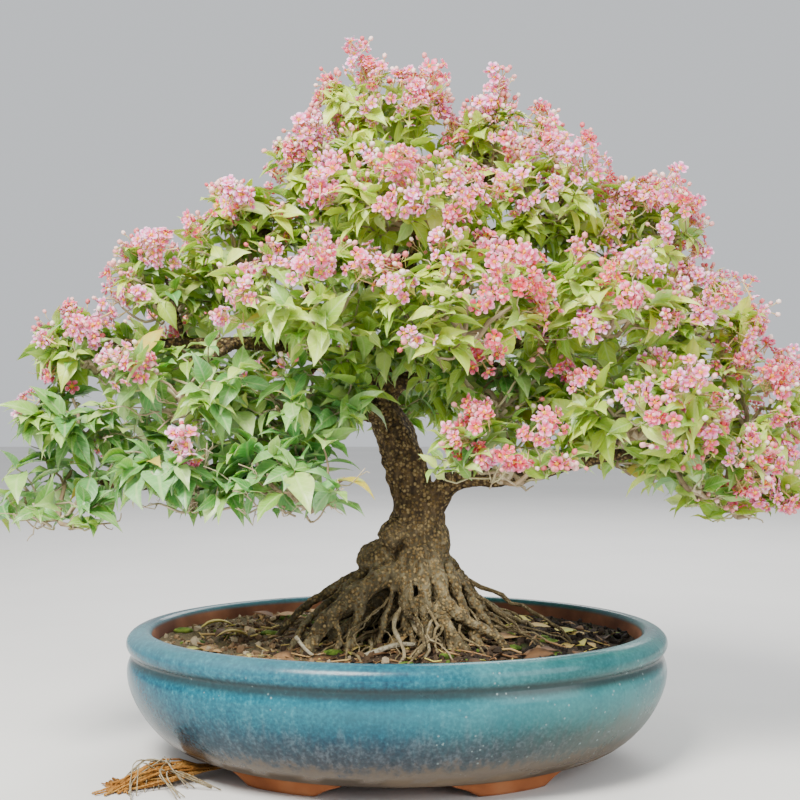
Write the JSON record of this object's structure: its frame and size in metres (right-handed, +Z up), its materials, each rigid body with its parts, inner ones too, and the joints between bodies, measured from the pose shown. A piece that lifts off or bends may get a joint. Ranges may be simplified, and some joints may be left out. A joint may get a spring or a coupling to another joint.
{
  "type": "barbados cherry bonsai",
  "caption": "Flowering Barbados cherry grown as a bonsai, with exposed roots and layered foliage, in a blue glazed oval pot on cloud feet.",
  "frame": {"origin": "on the table, at the middle of the plant's outer box, within 10 mm of the pot's centre", "axes": "+X along the pot's length and the tree's spread, to the right as seen from the front; +Y away from the front; +Z up"},
  "size_m": [0.7922, 0.4594, 0.6806],
  "materials": {
    "glazed_pot": "gloss",
    "soil": "matte",
    "bark": "matte",
    "root": "matte",
    "leaf": "satin",
    "fallen_leaf": "satin",
    "petal": "matte"
  },
  "bodies": {
    "root": {"pot": "glazed_pot", "soil": "soil", "trunk": "bark", "escaped_roots": "root", "fallen_leaf_1": "fallen_leaf", "fallen_leaf_2": "fallen_leaf", "fallen_leaf_3": "fallen_leaf", "leaves_apex": "leaf", "leaves_crown_left": "leaf", "leaves_crown_right": "leaf", "leaves_crown_front": "leaf", "leaves_crown_back": "leaf", "leaves_shoulder_right": "leaf", "leaves_high_right": "leaf", "leaves_high_left": "leaf", "leaves_outer_left": "leaf", "leaves_edge_left": "leaf", "leaves_front_left": "leaf", "leaves_front_right": "leaf", "leaves_mid_right": "leaf", "leaves_outer_right": "leaf", "leaves_edge_right": "leaf", "leaves_low_right": "leaf", "leaves_tip_right": "leaf", "leaves_inner_right": "leaf", "leaves_fork_right": "leaf", "leaves_reach_right": "leaf", "leaves_side_left": "leaf", "leaves_tip_left": "leaf", "leaves_low_left": "leaf", "leaves_inner_left": "leaf", "leaves_under_left": "leaf", "leaves_edge_low_left": "leaf", "leaves_back_left": "leaf", "leaves_back_right": "leaf", "leaves_back_low": "leaf", "leaves_rear_low_left": "leaf", "leaves_rear_low_right": "leaf", "flowers_01": "petal", "flowers_02": "petal", "flowers_03": "petal", "flowers_04": "petal", "flowers_05": "petal", "flowers_06": "petal", "flowers_07": "petal", "flowers_08": "petal", "flowers_09": "petal", "flowers_10": "petal", "flowers_11": "petal", "flowers_12": "petal", "flowers_13": "petal", "flowers_14": "petal", "flowers_15": "petal", "flowers_16": "petal", "flowers_17": "petal", "flowers_18": "petal", "flowers_19": "petal", "flowers_20": "petal", "flowers_21": "petal", "flowers_22": "petal"}
  },
  "joints": []
}
